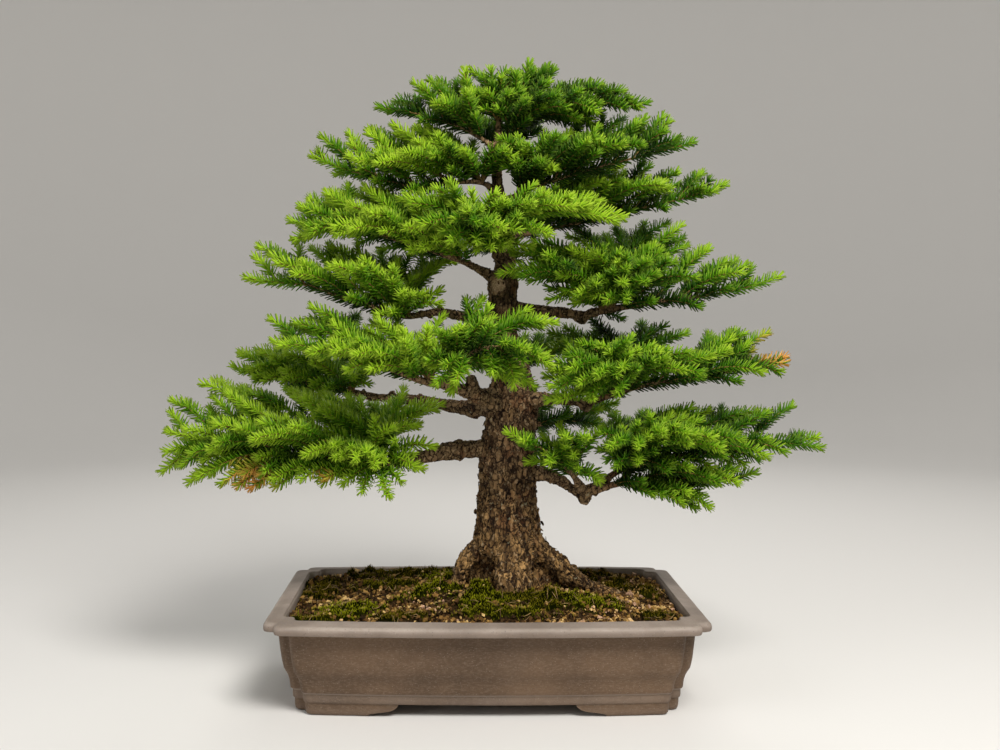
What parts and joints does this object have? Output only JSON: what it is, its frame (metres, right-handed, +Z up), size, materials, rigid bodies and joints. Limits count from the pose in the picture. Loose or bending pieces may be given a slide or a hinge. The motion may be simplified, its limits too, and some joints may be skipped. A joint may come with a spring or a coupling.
{
  "type": "potted conifer bonsai",
  "caption": "Upright conifer bonsai with tiered, arching sprays of short needles on a flared trunk, in an unglazed clay pot with notched corners, a stepped rim and cloud-cut feet.",
  "frame": {"origin": "on the ground that the pot's feet stand on, under the middle of the whole tree and pot", "axes": "+Z up along the trunk, +X to the right along the pot's long side as seen from its front, +Y to the back"},
  "size_m": [0.8119, 0.4258, 0.7633],
  "materials": {
    "clay": "matte",
    "screen": "matte",
    "soil": "matte",
    "wood": "matte",
    "needles": "satin"
  },
  "bodies": {
    "root": {"pot": "clay", "drain_screen_left": "screen", "drain_screen_right": "screen", "soil": "soil", "trunk": "wood", "left_low": "needles", "left_back": "needles", "left_front": "needles", "front_low": "needles", "left_mid": "needles", "left_upper": "needles", "front_centre": "needles", "left_high": "needles", "left_top": "needles", "apex": "needles", "right_top": "needles", "right_high": "needles", "right_upper": "needles", "right_mid": "needles", "right_low": "needles", "right_long": "needles", "right_bottom": "needles", "front_right": "needles", "back_low": "needles", "back_mid": "needles", "back_high": "needles", "back_top": "needles"}
  },
  "joints": []
}
